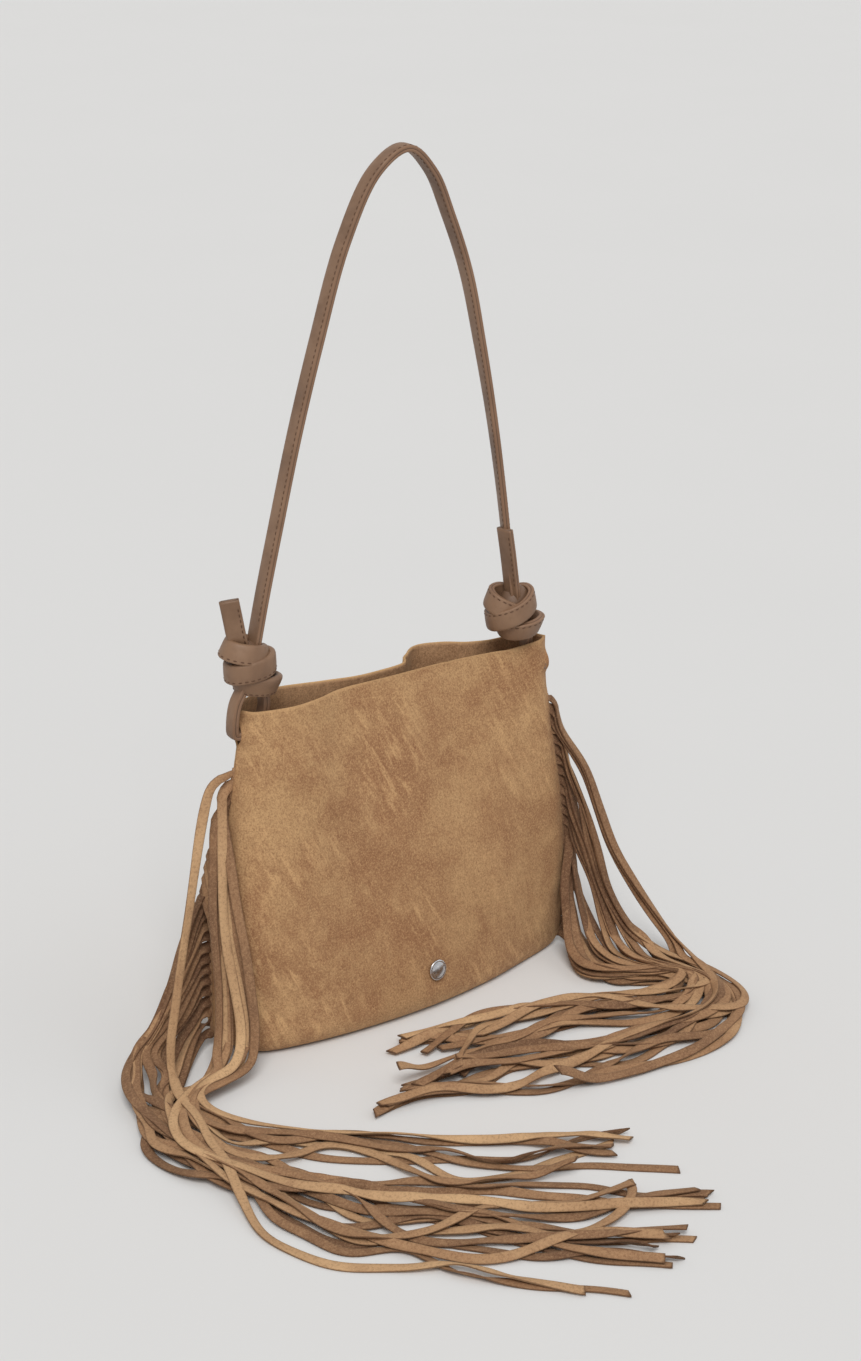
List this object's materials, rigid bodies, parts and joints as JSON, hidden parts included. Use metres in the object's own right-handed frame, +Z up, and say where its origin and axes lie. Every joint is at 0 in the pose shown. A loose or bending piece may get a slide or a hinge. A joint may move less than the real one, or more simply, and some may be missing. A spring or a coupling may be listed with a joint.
{
  "type": "fringed suede bag",
  "caption": "Soft suede shoulder bag, open at the top, with long fringes in both side seams and a knotted leather strap.",
  "frame": {"origin": "on the underside of the flat base, midway between the two side seams", "axes": "+X along the bag's width, -Y out of the front, +Z up along the strap's rise"},
  "size_m": [0.4438, 0.4383, 0.5724],
  "materials": {
    "front_suede": "napped suede, matt, mottled",
    "back_suede": "napped suede, matt, mottled",
    "fringe_suede": "cut suede lace, matt",
    "strap_leather": "smooth leather, soft sheen, stitched edge",
    "stud_metal": "polished"
  },
  "bodies": {
    "root": {"front_panel": "front_suede", "back_panel": "back_suede", "fringe_left": "fringe_suede", "fringe_right": "fringe_suede", "strap": "strap_leather", "front_stud": "stud_metal"}
  },
  "joints": []
}
